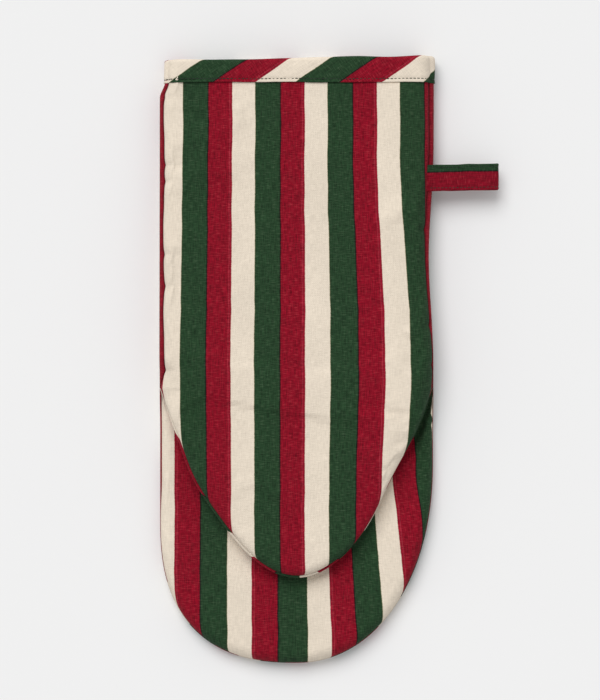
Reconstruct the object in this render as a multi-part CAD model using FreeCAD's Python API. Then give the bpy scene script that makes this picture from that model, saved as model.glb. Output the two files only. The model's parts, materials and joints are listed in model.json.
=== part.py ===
"""Quilted oven mitt of the puppet kind, lying flat: one long pocket for the fingers, a shorter tongue over it
for the thumb, and a mouth panel folded between them.

Frame, in millimetres: +Z up, Z = 0 is the surface that the mitt lies on, +Y runs towards the cuff, and the
origin is under the middle of the mouth's fold. The tongue and the finger pocket point along -Y.

Every wall is a sandwich of three pieces: printed cotton, wadding and lining. The tongue lifts about the fold
of the mouth, so the walls that cross that fold are made as one node on each side of it.
"""

import FreeCAD, Part

import math
import os

# Driving dimensions.
CLOTH = 0.6
WADDING = 3.2
LINING = 0.5
POCKET_CAVITY = 5.0  # free height inside each pocket
MOUTH_GAP = 0.6  # between the tongue and the finger pocket under it
HAND_LENGTH = 201.0  # from the mouth's fold to the cuff's edge
FINGER_LENGTH = 167.0  # from the mouth's fold to the finger pocket's end
CUFF_HEIGHT = 18.0
TONGUE_OPENS = 70.0  # degrees
BINDING = 0.6
BINDING_WIDTH = 16.0
INSET_FROM = 150.0  # where the hand part starts to draw in under its binding
BINDING_STITCH_IN = 2.2  # from the binding's edge to its row of stitches
LOOP_Y = 128.5
LOOP_WIDTH = 16.0
LOOP_LENGTH = 38.0  # from its hinge line to its outer end
LOOP_STRAP = 1.3  # four layers of cotton
LOOP_EYE = 5.6  # free height inside the loop
LOOP_TAPER = 12.0  # length over which its two legs part
LOOP_EDGE = 2.0  # from the strap's edge to its row of stitches
LOOP_TAB = 6.0  # the strap's ends that are caught in the side seam
STITCH_LENGTH = 2.2
STITCH_PITCH = 3.2
STITCH_THREAD = 0.5
SEAM_THREAD = 0.5
SUNK = 0.15  # how far a stitch is pulled into its cloth
CLEAR = 0.3  # between pieces that turn past each other
FILLET_SLACK = 0.05  # leaves a narrow upright band between two edge roundings
THUMB_WAY = 140.0  # width of the way from the hand into the tongue
FOLD_ENDS = -25.0  # degrees from level, seen from the tongue's hinge line, where the mouth's fold stops

# (radius, heading at the arc's end): the outlines turn from straight across, 0 degrees, at their tips.
FINGER_ARCS = [(86.0, 30.0), (62.0, 62.0), (140.0, 90.0)]
TONGUE_ARCS = [(33.0, 32.0), (78.0, 52.0), (200.0, 62.0), (415.0, 69.3)]

# Derived.
OFFSETS = [0.0, CLOTH, CLOTH + WADDING, CLOTH + WADDING + LINING]
WALL = OFFSETS[-1]
LAYERS = ["cloth", "wadding", "lining"]
POCKET = 2 * WALL + POCKET_CAVITY
CREASE_HEIGHT = 2 * POCKET + MOUTH_GAP
ROUND = POCKET / 2  # every edge is rounded over a pocket's full height
TONGUE_Z = POCKET + MOUTH_GAP
HINGE_Z = TONGUE_Z + ROUND
FAR = 400.0


def heading(degrees):
    """Unit vector in plan, 0 degrees along +X and 90 along +Y."""
    a = math.radians(degrees)
    return FreeCAD.Vector(math.cos(a), math.sin(a), 0)


def arcs_span(arcs, offset=0.0):
    """How far a chain of tangent arcs goes along X and along Y."""
    x = y = 0.0
    before = 0.0
    for radius, after in arcs:
        a, b = math.radians(before), math.radians(after)
        x += (radius - offset) * (math.sin(b) - math.sin(a))
        y += (radius - offset) * (math.cos(a) - math.cos(b))
        before = after
    return x, y


HALF_WIDTH = arcs_span(FINGER_ARCS)[0]
CUFF_Y = HAND_LENGTH
TONGUE_SIDE = TONGUE_ARCS[-1][1]  # heading of the tongue's straight sides
CORNER_X = HALF_WIDTH - ROUND  # centre of the round corner at the tongue's back end


def tongue_side_length():
    """Length of the straight side that brings the tongue's arcs out to its back corner."""
    reach = CORNER_X + ROUND * math.sin(math.radians(TONGUE_SIDE)) - arcs_span(TONGUE_ARCS)[0]
    return reach / math.cos(math.radians(TONGUE_SIDE))


def tongue_tip_y():
    corner = -ROUND * math.cos(math.radians(TONGUE_SIDE))
    return corner - tongue_side_length() * math.sin(math.radians(TONGUE_SIDE)) - arcs_span(TONGUE_ARCS)[1]


TONGUE_TIP = tongue_tip_y()


def arc_edge(start, radius, before, after):
    """An arc that leaves start along heading before and turns left to heading after, and its end."""
    centre = start + heading(before + 90) * radius
    middle = centre + heading((before + after) / 2 - 90) * radius
    end = centre + heading(after - 90) * radius
    return Part.Arc(start, middle, end).toShape(), end


def half_outline(tip_y, arcs, offset):
    """Edges of the right half of an outline, inset by offset, from its tip along the arcs."""
    point = FreeCAD.Vector(0, tip_y + offset, 0)
    edges = []
    before = 0.0
    for radius, after in arcs:
        edge, point = arc_edge(point, radius - offset, before, after)
        edges.append(edge)
        before = after
    return edges, point


def closed_face(edges, z):
    """A face from the right half of an outline and its mirror image, at height z."""
    mirror = [e.mirror(FreeCAD.Vector(0, 0, 0), FreeCAD.Vector(1, 0, 0)) for e in edges]
    wire = Part.Wire(Part.__sortEdges__(edges + mirror))
    wire.translate(FreeCAD.Vector(0, 0, z))
    return Part.Face(wire)


def finger_half(offset, end_y):
    """Right half of the finger outline, up to a straight end at end_y."""
    edges, point = half_outline(-FINGER_LENGTH, FINGER_ARCS, offset)
    corner = FreeCAD.Vector(point.x, end_y, 0)
    edges.append(Part.LineSegment(point, corner).toShape())
    edges.append(Part.LineSegment(corner, FreeCAD.Vector(0, end_y, 0)).toShape())
    return edges


def tongue_half(offset):
    """Right half of the tongue's outline, whose back end is round about the hinge line."""
    edges, point = half_outline(TONGUE_TIP, TONGUE_ARCS, offset)
    corner = point + heading(TONGUE_SIDE) * tongue_side_length()
    edges.append(Part.LineSegment(point, corner).toShape())
    edge, back = arc_edge(corner, ROUND - offset, TONGUE_SIDE, 180.0)
    edges.append(edge)
    edges.append(Part.LineSegment(back, FreeCAD.Vector(0, back.y, 0)).toShape())
    return edges


def pad(half_edges, bottom, height, offset, flat_end=FAR):
    """A pad with a full round edge: the outline raised, then rounded, apart from an end at y = flat_end."""
    block = closed_face(half_edges, bottom + offset).extrude(FreeCAD.Vector(0, 0, height - 2 * offset))
    level = [
        e
        for e in block.Edges
        if e.BoundBox.ZLength < 1e-6 and e.BoundBox.YMin < flat_end - 1e-3
    ]
    return block.makeFillet(height / 2 - offset - FILLET_SLACK, level)


def box(x, y, z):
    """A box from three (low, high) pairs."""
    corner = FreeCAD.Vector(x[0], y[0], z[0])
    return Part.makeBox(x[1] - x[0], y[1] - y[0], z[1] - z[0], corner)


def section(y, seam_height, high_z, outer, inner, height):
    """The hand part's front or back wall in section at y: a band between two offsets of a rounded rectangle.

    It runs from the side seams at seam_height over the rectangle's top if high_z is True, or else its bottom.
    """
    up = 1 if high_z else -1

    def run(offset):
        side = HALF_WIDTH - offset
        radius = ROUND - offset
        flat = height - offset if high_z else offset
        turn = flat - up * radius
        diagonal = radius * math.sqrt(0.5)
        points = [
            (side, seam_height),
            (side, turn),
            (side - radius + diagonal, turn + up * diagonal),
            (side - radius, flat),
        ]
        return [FreeCAD.Vector(x, y, z) for x, z in points]

    def mirrored(p):
        return FreeCAD.Vector(-p.x, p.y, p.z)

    out, inn = run(outer), run(inner)
    edges = []
    for a in (out, inn):
        b = [mirrored(p) for p in a]
        edges += [
            Part.LineSegment(a[0], a[1]).toShape(),
            Part.Arc(a[1], a[2], a[3]).toShape(),
            Part.LineSegment(a[3], b[3]).toShape(),
            Part.Arc(b[3], b[2], b[1]).toShape(),
            Part.LineSegment(b[1], b[0]).toShape(),
        ]
    edges.append(Part.LineSegment(out[0], inn[0]).toShape())
    edges.append(Part.LineSegment(mirrored(out[0]), mirrored(inn[0])).toShape())
    return Part.Wire(Part.__sortEdges__(edges))


def height_at(y):
    """The hand part's height, which falls evenly from the fold to the cuff."""
    return CREASE_HEIGHT + (CUFF_HEIGHT - CREASE_HEIGHT) * y / HAND_LENGTH


def seam_z(y):
    return height_at(y) / 2


def inset_at(y):
    """How far the hand part's walls draw in, to leave the binding flush."""
    return BINDING * max(0.0, y - INSET_FROM) / (HAND_LENGTH - INSET_FROM)


def stations(start, end):
    """Places along Y between which the hand part's walls run straight."""
    return [start] + [y for y in (INSET_FROM,) if start < y < end] + [end]


def hand_band(high_z, outer, inner, start, end):
    """A layer of the hand part's front (high_z) or back wall between two places along Y."""
    wires = [
        section(y, seam_z(y), high_z, outer + inset_at(y), inner + inset_at(y), height_at(y))
        for y in stations(start, end)
    ]
    return Part.makeLoft(wires, True, True)


def hand_solid(offset, start, end):
    """The hand part filled in, at one constant offset, for the binding's two faces."""
    wires = []
    for y in (start, end):
        side, radius, top = HALF_WIDTH - offset, ROUND - offset, height_at(y) - offset
        inset = radius * (1 - math.sqrt(0.5))
        edges = []
        for sx in (1, -1):
            for flat, up in ((top, 1), (offset, -1)):
                low = FreeCAD.Vector(sx * side, y, flat - up * radius)
                mid = FreeCAD.Vector(sx * (side - inset), y, flat - up * inset)
                edges.append(Part.Arc(low, mid, FreeCAD.Vector(sx * (side - radius), y, flat)).toShape())
            edges.append(
                Part.LineSegment(
                    FreeCAD.Vector(sx * side, y, offset + radius), FreeCAD.Vector(sx * side, y, top - radius)
                ).toShape()
            )
        for flat in (offset, top):
            edges.append(
                Part.LineSegment(
                    FreeCAD.Vector(radius - side, y, flat), FreeCAD.Vector(side - radius, y, flat)
                ).toShape()
            )
        wires.append(Part.Wire(Part.__sortEdges__(edges)))
    return Part.makeLoft(wires, True, True)


def turning_space():
    """What the tongue sweeps above its hinge line: a cylinder, and the wedge in front of the lifted tongue."""
    radius = ROUND + CLEAR
    across = FreeCAD.Vector(2 * FAR, 0, 0)
    cylinder = Part.makeCylinder(radius, 2 * FAR, FreeCAD.Vector(-FAR, 0, HINGE_Z), FreeCAD.Vector(1, 0, 0))
    a = math.radians(TONGUE_OPENS)
    tangent = (radius * math.sin(a), HINGE_Z + radius * math.cos(a))
    above = CREASE_HEIGHT + ROUND
    edge_y = tangent[0] - (above - tangent[1]) / math.tan(a)
    corners = [(0, HINGE_Z), tangent, (edge_y, above), (-1, above), (-1, HINGE_Z)]
    points = [FreeCAD.Vector(-FAR, y, z) for y, z in corners]
    wedge = Part.Face(Part.makePolygon(points + points[:1])).extrude(across)
    return cylinder.fuse(wedge)


def loop_tab():
    """The ends of the hanging loop's strap, one on the other, caught in the right side seam."""
    z = seam_z(LOOP_Y)
    return box(
        (HALF_WIDTH - LOOP_TAB, HALF_WIDTH - inset_at(LOOP_Y)),
        (LOOP_Y - LOOP_WIDTH / 2, LOOP_Y + LOOP_WIDTH / 2),
        (z - LOOP_STRAP, z + LOOP_STRAP),
    )


def fold_sector(outer, inner):
    """The mouth panel's fold: its wall carried round the tongue's back end, clear of the thumb's way in."""
    radii = (HINGE_Z - (POCKET - outer), HINGE_Z - (POCKET - inner))
    reach = HALF_WIDTH - WALL - 2 * CLEAR
    start = FreeCAD.Vector(-reach, 0, HINGE_Z)
    along = FreeCAD.Vector(1, 0, 0)
    inside, outside = [Part.makeCylinder(radius, 2 * reach, start, along) for radius in radii]
    a = math.radians(FOLD_ENDS)
    far = (FAR * math.cos(a), HINGE_Z + FAR * math.sin(a))
    corners = [(0, HINGE_Z), (0, -FAR), (FAR, -FAR), far]
    points = [FreeCAD.Vector(-reach, y, z) for y, z in corners]
    keep = Part.Face(Part.makePolygon(points + points[:1])).extrude(FreeCAD.Vector(2 * reach, 0, 0))
    return outside.cut(inside).common(keep)


def walls():
    """Three layers for each of the five walls, as a dict from node name to solid."""
    nodes = {}
    turning = turning_space()
    tab = loop_tab()
    before_fold = box((-FAR, FAR), (-FAR, 0), (-FAR, FAR))
    under = box((-FAR, FAR), (-FAR, FAR), (-FAR, ROUND))
    over = box((-FAR, FAR), (-FAR, FAR), (ROUND, FAR))
    below = box((-FAR, FAR), (-FAR, FAR), (-FAR, HINGE_Z))
    thumb_way = box(
        (-THUMB_WAY / 2, THUMB_WAY / 2),
        (0, 2 * ROUND),
        (HINGE_Z - POCKET_CAVITY / 2, HINGE_Z + POCKET_CAVITY / 2),
    )
    finger_pads = [pad(finger_half(t, POCKET), 0.0, POCKET, t, POCKET) for t in OFFSETS]
    tongue_pads = [pad(tongue_half(t), TONGUE_Z, POCKET, t) for t in OFFSETS]
    for i, layer in enumerate(LAYERS):
        outer, inner = OFFSETS[i], OFFSETS[i + 1]
        finger = finger_pads[i].cut(finger_pads[i + 1]).common(before_fold)
        back = hand_band(False, outer, inner, 0.0, CUFF_Y).fuse(finger.common(under))
        nodes["back_" + layer] = back.cut(tab).removeSplitter()
        front = hand_band(True, outer, inner, 0.0, CUFF_Y)
        nodes["front_" + layer] = front.cut(turning).cut(tab)
        mouth = finger.common(over).fuse(fold_sector(outer, inner))
        nodes["mouth_" + layer] = mouth.removeSplitter()
        tongue = tongue_pads[i].cut(tongue_pads[i + 1]).cut(thumb_way)
        nodes["thumb_" + layer] = tongue.cut(below)
        nodes["thumb_mouth_" + layer] = tongue.common(below)
    return nodes


def cuff_binding():
    """A bias strip folded over the cuff's edge: outside, over the end and inside, as one ring."""
    start = CUFF_Y - BINDING_WIDTH
    ring = hand_solid(0.0, start, CUFF_Y + BINDING).cut(
        hand_solid(WALL + 2 * BINDING, start - 1, CUFF_Y + BINDING + 1)
    )
    for high_z in (True, False):
        ring = ring.cut(hand_band(high_z, 0.0, WALL, start - 1, CUFF_Y))
    return ring


def binding_stitches():
    """A row of topstitching along the binding's lower edge, on the front and on the back."""
    y = CUFF_Y - BINDING_WIDTH + BINDING_STITCH_IN
    reach = HALF_WIDTH - ROUND
    count = int(2 * reach / STITCH_PITCH)
    row = []
    for i in range(count):
        x = (i - (count - 1) / 2) * STITCH_PITCH
        for z in (height_at(y) - SUNK, 0.0):
            row.append(
                box(
                    (x - STITCH_LENGTH / 2, x + STITCH_LENGTH / 2),
                    (y - STITCH_THREAD / 2, y + STITCH_THREAD / 2),
                    (z, z + STITCH_THREAD - SUNK),
                )
            )
    return Part.makeCompound(row)


def thread_along(edges, height):
    """A seam's thread: a round rod swept along edges in plan at one height."""
    mirror = [e.mirror(FreeCAD.Vector(0, 0, 0), FreeCAD.Vector(1, 0, 0)) for e in edges]
    path = Part.Wire(Part.__sortEdges__(edges + mirror))
    path.translate(FreeCAD.Vector(0, 0, height))
    start = path.OrderedVertexes[0].Point
    along = path.OrderedEdges[0].tangentAt(path.OrderedEdges[0].FirstParameter)
    ring = Part.Wire(Part.makeCircle(SEAM_THREAD / 2, start, along))
    return path.makePipeShell([ring], True, True)


def round_seams():
    """The seams round the tongue and round the finger pocket, just under the cloth's surface."""
    depth = SEAM_THREAD / 2
    finger, _ = half_outline(-FINGER_LENGTH, FINGER_ARCS, depth)
    tongue, point = half_outline(TONGUE_TIP, TONGUE_ARCS, depth)
    side = point + heading(TONGUE_SIDE) * (tongue_side_length() - ROUND)
    tongue.append(Part.LineSegment(point, side).toShape())
    return {"finger_seam": thread_along(finger, ROUND), "thumb_seam": thread_along(tongue, HINGE_Z)}


def side_seam(side):
    """The seam between the front and the back, from the mouth's corner to the binding."""
    rings = []
    for y in stations(ROUND + 2, CUFF_Y - BINDING_WIDTH):
        x = side * (HALF_WIDTH - inset_at(y) - SEAM_THREAD / 2)
        centre = FreeCAD.Vector(x, y, seam_z(y))
        rings.append(Part.Wire([Part.makeCircle(SEAM_THREAD / 2, centre, FreeCAD.Vector(0, 1, 0))]))
    return Part.makeLoft(rings, True, True)


HINGE_X = HALF_WIDTH + LOOP_STRAP + CLEAR


def loop_curve(inset):
    """The hanging loop's side view, inset from its outside: legs that part, run level and meet in a bend."""
    z = seam_z(LOOP_Y)
    half = LOOP_EYE / 2 + LOOP_STRAP - inset
    nose = LOOP_STRAP - inset
    bend = HINGE_X + LOOP_LENGTH - LOOP_EYE / 2 - LOOP_STRAP
    p = FreeCAD.Vector
    y = LOOP_Y - LOOP_WIDTH / 2
    edges = [Part.Arc(p(bend, y, z - half), p(bend + half, y, z), p(bend, y, z + half)).toShape()]
    slope = math.atan2(LOOP_EYE / 2, LOOP_TAPER)
    knee_x = HINGE_X + LOOP_TAPER - inset * math.tan(slope / 2)
    start = p(HINGE_X - nose * math.sin(slope), y, z + nose * math.cos(slope))
    for up in (1, -1):
        near = p(start.x, y, z + up * (start.z - z))
        knee = p(knee_x, y, z + up * half)
        edges.append(Part.LineSegment(near, knee).toShape())
        edges.append(Part.LineSegment(knee, p(bend, y, z + up * half)).toShape())
    if nose > 1e-6:
        low = p(start.x, y, 2 * z - start.z)
        edges.append(Part.Arc(start, p(HINGE_X - nose, y, z), low).toShape())
    return Part.Wire(Part.__sortEdges__(edges))


def hanging_loop():
    """A strap of four layers, doubled back on itself, with an eye that a hook goes through."""
    across = FreeCAD.Vector(0, LOOP_WIDTH, 0)
    outside = Part.Face(loop_curve(0.0)).extrude(across)
    return outside.cut(Part.Face(loop_curve(LOOP_STRAP)).extrude(across))


def loop_stitches():
    """Topstitching along both edges of the strap, outside each leg."""
    z = seam_z(LOOP_Y)
    high = LOOP_EYE / 2 + LOOP_STRAP - SUNK
    start = HINGE_X + LOOP_TAPER
    end = HINGE_X + LOOP_LENGTH - LOOP_EYE / 2 - LOOP_STRAP
    count = int((end - start) / STITCH_PITCH)
    row = []
    for i in range(count):
        x = (start + end) / 2 + (i - (count - 1) / 2) * STITCH_PITCH
        for edge in (-1, 1):
            y = LOOP_Y + edge * (LOOP_WIDTH / 2 - LOOP_EDGE)
            for low in (z + high, z - high - STITCH_THREAD):
                row.append(
                    box(
                        (x - STITCH_LENGTH / 2, x + STITCH_LENGTH / 2),
                        (y - STITCH_THREAD / 2, y + STITCH_THREAD / 2),
                        (low, low + STITCH_THREAD),
                    )
                )
    return Part.makeCompound(row)


def main():
    nodes = walls()
    nodes["cuff_binding"] = cuff_binding()
    nodes["binding_stitches"] = binding_stitches()
    nodes.update(round_seams())
    nodes["side_seam_right"] = side_seam(1)
    nodes["side_seam_left"] = side_seam(-1)
    nodes["loop_tab"] = loop_tab()
    nodes["hanging_loop"] = hanging_loop()
    nodes["loop_stitches"] = loop_stitches()
    os.makedirs("parts", exist_ok=True)
    for name, shape in sorted(nodes.items()):
        shape.exportStep(os.path.join("parts", name + ".step"))
        print(f"{name}: {len(shape.Solids)} solids, {shape.Volume / 1000:.2f} cm3, valid {shape.isValid()}")
    print(f"half width {HALF_WIDTH:.2f}, tongue tip {TONGUE_TIP:.2f}, height {CREASE_HEIGHT:.2f}")
    print(f"tongue hinge z {HINGE_Z:.2f}, loop hinge x {HINGE_X:.2f}, z {seam_z(LOOP_Y):.3f}")


main()
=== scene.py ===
# %% [markdown]
# # A padded oven mitt with a lifting tongue
#
# The mitt is a sandwich of cotton, wadding and lining, sewn as a long pocket for the fingers and a shorter
# tongue over it for the thumb. The construction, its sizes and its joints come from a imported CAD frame. This
# file gives it its looks: cloth surfaces worked out with numpy, threads, and shader nodes for the print.
# It starts by loading the frame and keeping its box, because every size below is read from it.

import json
import math

import bmesh
import bpy
import numpy as np
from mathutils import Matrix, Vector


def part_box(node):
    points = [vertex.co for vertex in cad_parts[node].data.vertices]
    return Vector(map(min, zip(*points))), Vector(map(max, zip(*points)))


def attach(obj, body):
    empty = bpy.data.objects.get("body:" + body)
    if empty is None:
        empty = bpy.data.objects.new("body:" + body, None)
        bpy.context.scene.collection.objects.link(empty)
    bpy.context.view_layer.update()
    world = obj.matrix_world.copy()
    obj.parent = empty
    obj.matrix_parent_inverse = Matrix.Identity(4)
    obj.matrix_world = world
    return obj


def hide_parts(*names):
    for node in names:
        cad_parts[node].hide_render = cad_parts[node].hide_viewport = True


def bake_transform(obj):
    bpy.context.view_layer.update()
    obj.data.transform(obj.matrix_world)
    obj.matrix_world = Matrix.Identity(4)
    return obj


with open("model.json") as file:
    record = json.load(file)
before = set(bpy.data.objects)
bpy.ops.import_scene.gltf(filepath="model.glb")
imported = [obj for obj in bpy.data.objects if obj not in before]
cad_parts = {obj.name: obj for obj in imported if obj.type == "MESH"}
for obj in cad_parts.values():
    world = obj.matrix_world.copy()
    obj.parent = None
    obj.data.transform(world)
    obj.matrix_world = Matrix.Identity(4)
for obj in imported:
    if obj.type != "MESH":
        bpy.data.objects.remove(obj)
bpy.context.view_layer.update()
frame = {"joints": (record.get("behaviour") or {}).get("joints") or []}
scene = bpy.context.scene
mm = 0.001

# %% [markdown]
# ## The sizes that everything follows
#
# The hand part runs from the mouth's fold, where y is 0, to the cuff. The fingers and the tongue point the
# other way. Reading these from the CAD nodes keeps the looks and the construction in step. Blender works in
# metres, but cloth is easier to think about in millimetres, so the shapes are worked out in millimetres and
# turned into metres when they become meshes.

# %% Main sizes
def high(node, axis):
    """A node's highest coordinate on one axis, in millimetres."""
    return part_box(node)[1][axis] / mm


def low(node, axis):
    """A node's lowest coordinate on one axis, in millimetres."""
    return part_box(node)[0][axis] / mm


cuff_end = high("cuff_binding", 1)
binding_edge = low("cuff_binding", 1)
finger_length = -low("back_cloth", 1)
tongue_length = -low("thumb_cloth", 1)
crease_top = high("thumb_cloth", 2)
cuff_top = high("cuff_binding", 2)
half_width = high("back_cloth", 0)
tongue_hinge = [c / mm for c in {j["name"]: j for j in frame["joints"]}["tongue_lift"]["pos_m"]]
loop_hinge = [c / mm for c in {j["name"]: j for j in frame["joints"]}["loop_swing"]["pos_m"]]
pocket_top = low("finger_seam", 2) + high("finger_seam", 2)
tongue_base = 2 * tongue_hinge[2] - crease_top
cloth = 0.5
wadding = 2.5
loft = 0.55
lining = 0.45
print(f"fingers {finger_length:.1f}, tongue {tongue_length:.1f}, hand {cuff_end:.1f} mm")
print(f"finger pocket {pocket_top:.1f} thick, tongue from {tongue_base:.1f} to {crease_top:.1f} mm")

# %% [markdown]
# ## Small tools for shapes
#
# A smooth step eases from one value to another, and smooth noise gives the slow swell of hand-sewn cloth.
# The noise is a lattice of random heights from a fixed seed, eased between the lattice's points, so the same
# cloth comes out on every run.

# %% Easing and smooth noise
def ease(low, high, x):
    """0 below low, 1 above high, and 3 t squared minus 2 t cubed between them."""
    t = np.clip((x - low) / (high - low), 0, 1)
    return t * t * (3 - 2 * t)


def swell(x, y, cell, seed):
    """Smooth noise from -1 to 1: random heights on a square lattice of that cell, eased between its points."""
    heights = np.random.default_rng(seed).uniform(-1, 1, (64, 64))
    a, b = np.asarray(x) / cell + 31.3, np.asarray(y) / cell + 30.7
    i, j = np.floor(a).astype(int), np.floor(b).astype(int)
    s, t = ease(0, 1, a - i), ease(0, 1, b - j)
    near = heights[i % 64, j % 64] * (1 - s) + heights[(i + 1) % 64, j % 64] * s
    far = heights[i % 64, (j + 1) % 64] * (1 - s) + heights[(i + 1) % 64, (j + 1) % 64] * s
    return near * (1 - t) + far * t


def notch(y, places, width):
    """A row of small cusps: each is 1 at its place and falls off as e to the minus distance over width."""
    return sum(np.exp(-np.abs(y - place) / width) for place in places)


# %% [markdown]
# ## Putting a surface into Blender
#
# Each cloth is a grid: rows run along the mitt and columns run across it. `grid_piece` turns such an array of
# points into a mesh in one go. Where the rows close round a tip, the last row's left half lies on its right
# half, and the two are welded so that the tip has no slit. The cloth's own flat coordinates go in a UV map, so
# the print and the weave follow the cloth round its edges.

# %% Grid to mesh
def grid_piece(name, points, flat, tip=False, ring=False, flip=False):
    """A mesh in metres from a grid of points in millimetres, with its flat cloth coordinates as a UV map.

    tip welds the last row's left half to its right half, and ring welds the last column to the first.
    """
    rows, cols = points.shape[:2]
    corner = np.arange(rows * cols).reshape(rows, cols)
    index = corner.copy()
    if tip:
        index[-1] = index[-1, np.minimum(np.arange(cols), cols - 1 - np.arange(cols))]
    if ring:
        index[:, -1] = index[:, 0]
    faces = np.stack([corner[:-1, :-1], corner[:-1, 1:], corner[1:, 1:], corner[1:, :-1]], -1).reshape(-1, 4)
    if flip:
        faces = faces[:, ::-1]
    used, compact = np.unique(index.ravel()[faces], return_inverse=True)
    mesh = bpy.data.meshes.new(name)
    mesh.vertices.add(len(used))
    mesh.vertices.foreach_set("co", (points * mm).reshape(-1, 3)[used].astype(np.float32).ravel())
    mesh.loops.add(faces.size)
    mesh.loops.foreach_set("vertex_index", compact.astype(np.int32).ravel())
    mesh.polygons.add(len(faces))
    mesh.polygons.foreach_set("loop_start", np.arange(0, faces.size, 4, dtype=np.int32))
    mesh.update(calc_edges=True)
    mesh.polygons.foreach_set("use_smooth", np.ones(len(faces), bool))
    layer = mesh.uv_layers.new(name="cloth")
    layer.data.foreach_set("uv", (flat * mm).reshape(-1, 2)[faces].astype(np.float32).ravel())
    mesh.validate()
    piece = bpy.data.objects.new(name, mesh)
    scene.collection.objects.link(piece)
    return piece


def store(piece, name, values):
    """Keeps one number per vertex for the materials to read."""
    piece.data.attributes.new(name, "FLOAT", "POINT").data.foreach_set("value", values.astype(np.float32))


def settle(piece):
    """Fixes a piece's modifiers into its mesh."""
    made = bpy.data.meshes.new_from_object(piece.evaluated_get(bpy.context.evaluated_depsgraph_get()))
    piece.modifiers.clear()
    piece.data = made
    return piece


def thicken(piece, thickness):
    """Gives a cloth its thickness in millimetres, inwards from its outside face."""
    solid = piece.modifiers.new("thickness", "SOLIDIFY")
    solid.thickness = thickness * mm
    solid.offset = -1
    solid.use_rim = True
    return settle(piece)


# %% [markdown]
# ## Camera, floor and light
#
# A straight-down view from two metres with a long lens keeps the mitt's proportions. The floor is a plain pale
# sheet. One big soft lamp up on the cuff's side gives each padded edge a bright side and a gentle shadow, and
# the world fills the rest. Together they light a level white surface to just under white, so that a colour
# renders about as it is written.

# %% Camera
camera_height = 2000.0
view_height = 427.0
view_middle = (2.1, 23.2)
camera_data = bpy.data.cameras.new("camera")
camera_data.sensor_width = 36.0
camera_data.lens = camera_data.sensor_width * camera_height / view_height
camera = bpy.data.objects.new("camera", camera_data)
camera.location = (view_middle[0] * mm, view_middle[1] * mm, camera_height * mm)
scene.collection.objects.link(camera)
scene.camera = camera
scene.view_settings.view_transform = "Standard"
print(f"lens {camera_data.lens:.1f} mm")

# %% Floor and light
floor_mesh = bpy.data.meshes.new("floor")
floor_size = 3.0
corners = [(-floor_size, -floor_size), (floor_size, -floor_size), (floor_size, floor_size), (-floor_size, floor_size)]
floor_mesh.from_pydata([(x, y, 0) for x, y in corners], [], [(0, 1, 2, 3)])
floor = bpy.data.objects.new("floor", floor_mesh)
scene.collection.objects.link(floor)
floor_finish = bpy.data.materials.new("pale_floor")
floor_finish.use_nodes = True
floor_shader = floor_finish.node_tree.nodes["Principled BSDF"]
floor_shader.inputs["Base Color"].default_value = (0.885, 0.885, 0.885, 1)
floor_shader.inputs["Roughness"].default_value = 1.0
floor_shader.inputs["Specular IOR Level"].default_value = 0.0
floor.data.materials.append(floor_finish)

world = bpy.data.worlds.new("studio")
world.use_nodes = True
world.node_tree.nodes["Background"].inputs["Strength"].default_value = 0.53
world.node_tree.nodes["Background"].inputs["Color"].default_value = (1, 1, 1, 1)
scene.world = world
lamp_data = bpy.data.lights.new("soft_lamp", "SUN")
lamp_data.energy = 1.80
lamp_data.angle = math.radians(40)
lamp = bpy.data.objects.new("soft_lamp", lamp_data)
lamp_from = np.array([-0.27, 0.70, 1.0])
lamp.rotation_euler = (math.atan2(math.hypot(lamp_from[0], lamp_from[1]), lamp_from[2]), 0,
                       math.atan2(lamp_from[0], -lamp_from[1]))
scene.collection.objects.link(lamp)
print("lamp turned", [round(math.degrees(a)) for a in lamp.rotation_euler])

# %% [markdown]
# ## The outlines of the mitt
#
# Seen from above the hand part is nearly straight, drawn in a little where the binding grips the cuff. The
# fingers' end is a superellipse, whose powers sit between an ellipse and a rectangle, and a different one on
# each side because nobody sews quite evenly. The tongue is close to a parabola. Each outline is divided evenly
# by its own length, so that the rows of the grid stay even round the tips.

# %% Outlines
LEFT, RIGHT = -1, 1


def evenly(x, y, count):
    """Points on a fine line, count of them, evenly spaced by its length."""
    run = np.concatenate([[0], np.cumsum(np.hypot(np.diff(x), np.diff(y)))])
    where = np.linspace(0, run[-1], count)
    return np.stack([np.interp(where, run, x), np.interp(where, run, y)], -1)


def hand_edge(y, side):
    """The hand part's half width at y: constant, with one broad ease in and the binding's grip."""
    if side == LEFT:
        return half_width - 0.2 - 3.2 * ease(176, 186, y)
    return half_width - 0.2 + 0.4 * ease(60, 150, y) - 2.9 * np.exp(-(((y - 80) / 40) ** 2))


def tongue_outline(side, count):
    """A parabola: the half width times the root of what is left of the length, leaning a little to the left."""
    c = np.linspace(1, 0, 2001)
    y = -tongue_length * (1 - c**2)
    return evenly(side * (half_width - 0.2) * c - 3.0 * np.exp(-(((y + 53) / 24) ** 2)) * (1 - c**8), y, count)


def finger_outline(side, count):
    """Straight, then a superellipse: cosine and sine of an angle, each to the power two over n."""
    start, power = (-80.0, 2.5) if side == LEFT else (-46.0, 2.1)
    t = np.linspace(0, math.pi / 2, 2001)
    x = np.concatenate([np.full(200, 1.0), np.cos(t) ** (2 / power)]) * side * (half_width - 0.2)
    y = np.concatenate([np.linspace(0, start, 200), start - (finger_length + start) * np.sin(t) ** (2 / power)])
    return evenly(x, y, count)


def hand_outline(side, y):
    """The hand part's edge at each y."""
    return np.stack([side * hand_edge(y, side), y], -1)


# %% [markdown]
# ## A grid that follows a rounded panel
#
# A sewn panel has to be even along its seams, because that is where it turns over and puckers. So each row of
# the grid is a straight line from a point on the panel's middle line out to a point on its edge. On the hand
# part the rows are level, and round a tip they fan out. Columns near the seam are close together and carry the
# turned edge, and the others are spread over the flat. Depth below the edge is measured square to the seam.

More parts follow.
